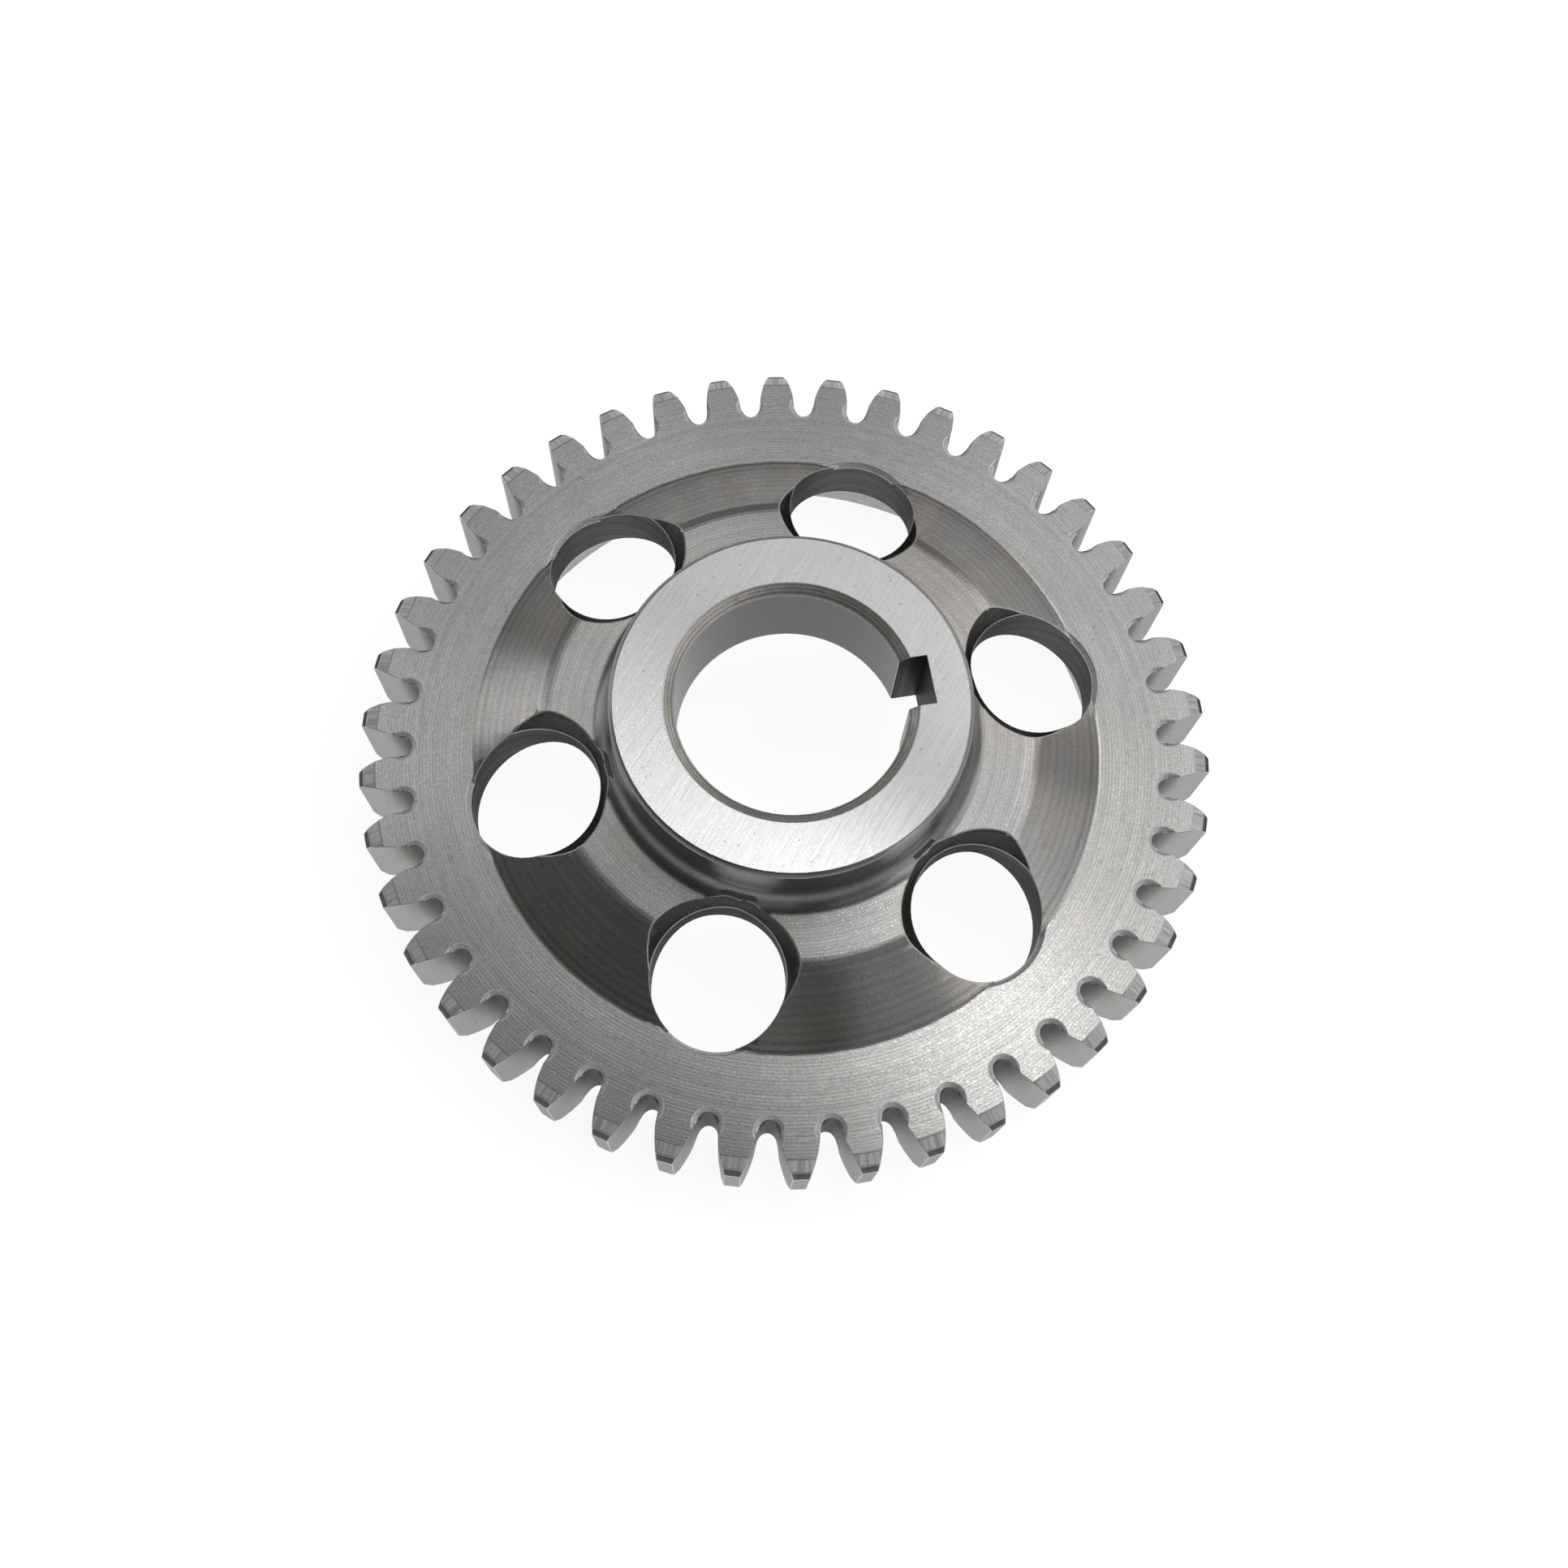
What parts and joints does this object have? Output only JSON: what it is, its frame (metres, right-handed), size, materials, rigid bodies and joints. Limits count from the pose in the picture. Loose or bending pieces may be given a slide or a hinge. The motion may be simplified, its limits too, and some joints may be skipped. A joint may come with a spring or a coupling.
{
  "type": "balance shaft gear",
  "caption": "Steel spur gear for an engine balance shaft: dished web with round lightening holes, raised hub, chamfered teeth and a keyed bore.",
  "frame": {"origin": "on the gear's axis, at the underside of the rim, which the gear rests on", "axes": "+Z along the gear's axis towards the ground face of the hub; +X through the middle of the keyway"},
  "size_m": [0.088, 0.088, 0.0217],
  "materials": {
    "steel": "machined steel: fine turned rings on the rim and web, ground hub face, satin tooth flanks"
  },
  "bodies": {
    "root": {"gear": "steel"}
  },
  "joints": []
}
